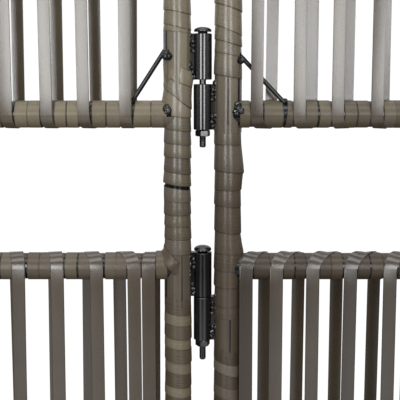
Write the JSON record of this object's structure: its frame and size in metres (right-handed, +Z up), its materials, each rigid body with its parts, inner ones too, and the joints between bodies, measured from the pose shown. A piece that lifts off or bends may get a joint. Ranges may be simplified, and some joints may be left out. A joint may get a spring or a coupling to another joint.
{
  "type": "folding privacy screen",
  "caption": "Folding privacy screen: steel-tube panels wound with flat plastic strip, with open windows between the wound sections and bolted barrel hinges that fold either way.",
  "frame": {"origin": "middle of the footprint on the floor, with the screen in its rest pose", "axes": "+Z up along the posts, +X along the line of the first two panels towards the folded one, -Y the side the barrels' front faces and the main view look from"},
  "size_m": [1.042, 0.3696, 1.7],
  "materials": {
    "frame_paint": "black gloss powder coat over steel tube and weld",
    "wound_strip": "grey-brown extruded polyethylene strip, finely ribbed along its length, semi-gloss",
    "fastener_black": "black coated steel bolts and nuts, semi-gloss",
    "cap_plastic": "black moulded plastic, fine grain"
  },
  "bodies": {
    "panel_b": {"panel_b_left_post": "frame_paint", "panel_b_right_post": "frame_paint", "panel_b_top_rail": "frame_paint", "panel_b_upper_window_head": "frame_paint", "panel_b_upper_window_sill": "frame_paint", "panel_b_lower_window_head": "frame_paint", "panel_b_lower_window_sill": "frame_paint", "panel_b_bottom_rail": "frame_paint", "panel_b_post_wraps": "wound_strip", "panel_b_upper_infill": "wound_strip", "panel_b_middle_infill": "wound_strip", "panel_b_lower_infill": "wound_strip", "panel_b_corner_braces": "frame_paint", "panel_b_top_caps": "cap_plastic", "panel_b_foot_caps": "cap_plastic", "left_joint_lower_barrels": "frame_paint", "right_joint_upper_barrels": "frame_paint", "right_joint_bolts": "fastener_black", "right_joint_nuts": "fastener_black"},
    "panel_a": {"panel_a_left_post": "frame_paint", "panel_a_right_post": "frame_paint", "panel_a_top_rail": "frame_paint", "panel_a_upper_window_head": "frame_paint", "panel_a_upper_window_sill": "frame_paint", "panel_a_lower_window_head": "frame_paint", "panel_a_lower_window_sill": "frame_paint", "panel_a_bottom_rail": "frame_paint", "panel_a_post_wraps": "wound_strip", "panel_a_upper_infill": "wound_strip", "panel_a_middle_infill": "wound_strip", "panel_a_lower_infill": "wound_strip", "panel_a_corner_braces": "frame_paint", "panel_a_top_caps": "cap_plastic", "panel_a_foot_caps": "cap_plastic", "left_joint_upper_barrels": "frame_paint", "left_joint_bolts": "fastener_black", "left_joint_nuts": "fastener_black"},
    "panel_c": {"panel_c_left_post": "frame_paint", "panel_c_right_post": "frame_paint", "panel_c_top_rail": "frame_paint", "panel_c_upper_window_head": "frame_paint", "panel_c_upper_window_sill": "frame_paint", "panel_c_lower_window_head": "frame_paint", "panel_c_lower_window_sill": "frame_paint", "panel_c_bottom_rail": "frame_paint", "panel_c_post_wraps": "wound_strip", "panel_c_upper_infill": "wound_strip", "panel_c_middle_infill": "wound_strip", "panel_c_lower_infill": "wound_strip", "panel_c_corner_braces": "frame_paint", "panel_c_top_caps": "cap_plastic", "panel_c_foot_caps": "cap_plastic", "right_joint_lower_barrels": "frame_paint"}
  },
  "joints": [
    {"name": "left_hinge", "type": "hinge", "parent": "panel_b", "child": "panel_a", "pos_m": [-0.1105, -0.17234, 0.85], "axis": [0, 0, 1], "range_deg": [-105, 105]},
    {"name": "right_hinge", "type": "hinge", "parent": "panel_b", "child": "panel_c", "pos_m": [0.3095, -0.17234, 0.85], "axis": [0, 0, 1], "range_deg": [-165, 45]}
  ]
}
